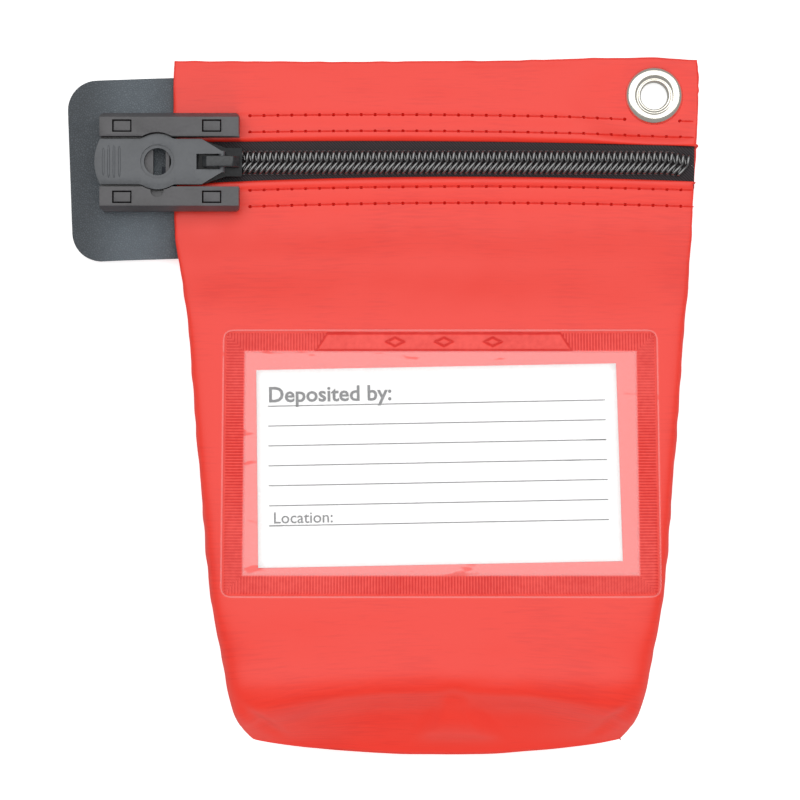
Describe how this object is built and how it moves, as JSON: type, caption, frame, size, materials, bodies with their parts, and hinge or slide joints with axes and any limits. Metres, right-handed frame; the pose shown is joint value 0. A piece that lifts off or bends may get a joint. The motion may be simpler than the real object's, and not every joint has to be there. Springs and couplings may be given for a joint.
{
  "type": "cash deposit bag",
  "caption": "Small coated-cloth cash bag with a coil zip, a lock for a security seal, a grip tab, an eyelet and a clear label window.",
  "frame": {"origin": "on the face that the back panel rests on, at the middle of the bag's width and about half way up it", "axes": "+X runs across the bag towards the eyelet, +Y up it towards the top hem, +Z out of its front, away from what it lies on"},
  "size_m": [0.1834, 0.1997, 0.0335],
  "materials": {
    "red_cloth": "red PVC-coated polyester cloth, satin",
    "zip_tape": "black woven polyester tape",
    "zip_coil": "black polyester monofilament coil",
    "red_thread": "red polyester sewing thread",
    "black_enamel": "black enamel on cast zinc",
    "pull_plastic": "dark grey moulded plastic, satin",
    "lock_plastic": "dark grey moulded plastic, satin",
    "spring_steel": "bright rolled spring steel",
    "grain_vinyl": "dark grey leather-grain vinyl",
    "nickel": "bright nickel plate on brass",
    "weld": "clear film pressed into red cloth by a ribbed welding die",
    "clear_film": "clear flexible PVC film",
    "card": "white printed card"
  },
  "bodies": {
    "bag": {"front_panel": "red_cloth", "top_band": "red_cloth", "back_panel": "red_cloth", "zip_tape_upper": "zip_tape", "zip_tape_lower": "zip_tape", "zip_coil_upper": "zip_coil", "zip_coil_lower": "zip_coil", "zip_top_stops": "black_enamel", "stitch_row_top_far": "red_thread", "stitch_row_top_near": "red_thread", "stitch_row_low_near": "red_thread", "stitch_row_low_far": "red_thread", "lock_housing": "lock_plastic", "lock_back_plate": "lock_plastic", "seal_catch": "spring_steel", "grip_tab": "grain_vinyl", "eyelet_front": "nickel", "eyelet_washer": "nickel", "window_weld": "weld", "window_film": "clear_film"},
    "slider": {"slider_body": "black_enamel", "slider_bridge": "black_enamel"},
    "pull": {"pull_tab": "pull_plastic"},
    "card": {"insert_card": "card"}
  },
  "joints": [
    {"name": "slider_travel", "type": "slide", "parent": "bag", "child": "slider", "axis": [1, 0, 0], "range_m": [0, 0.122]},
    {"name": "pull_tab_swing", "type": "hinge", "parent": "slider", "child": "pull", "pos_m": [-0.0622, 0.07, 0.0083], "axis": [0, 1, 0], "range_deg": [0, 180]},
    {"name": "card_slide", "type": "slide", "parent": "bag", "child": "card", "axis": [1, 0, 0], "range_m": [-0.002, 0.004]}
  ]
}
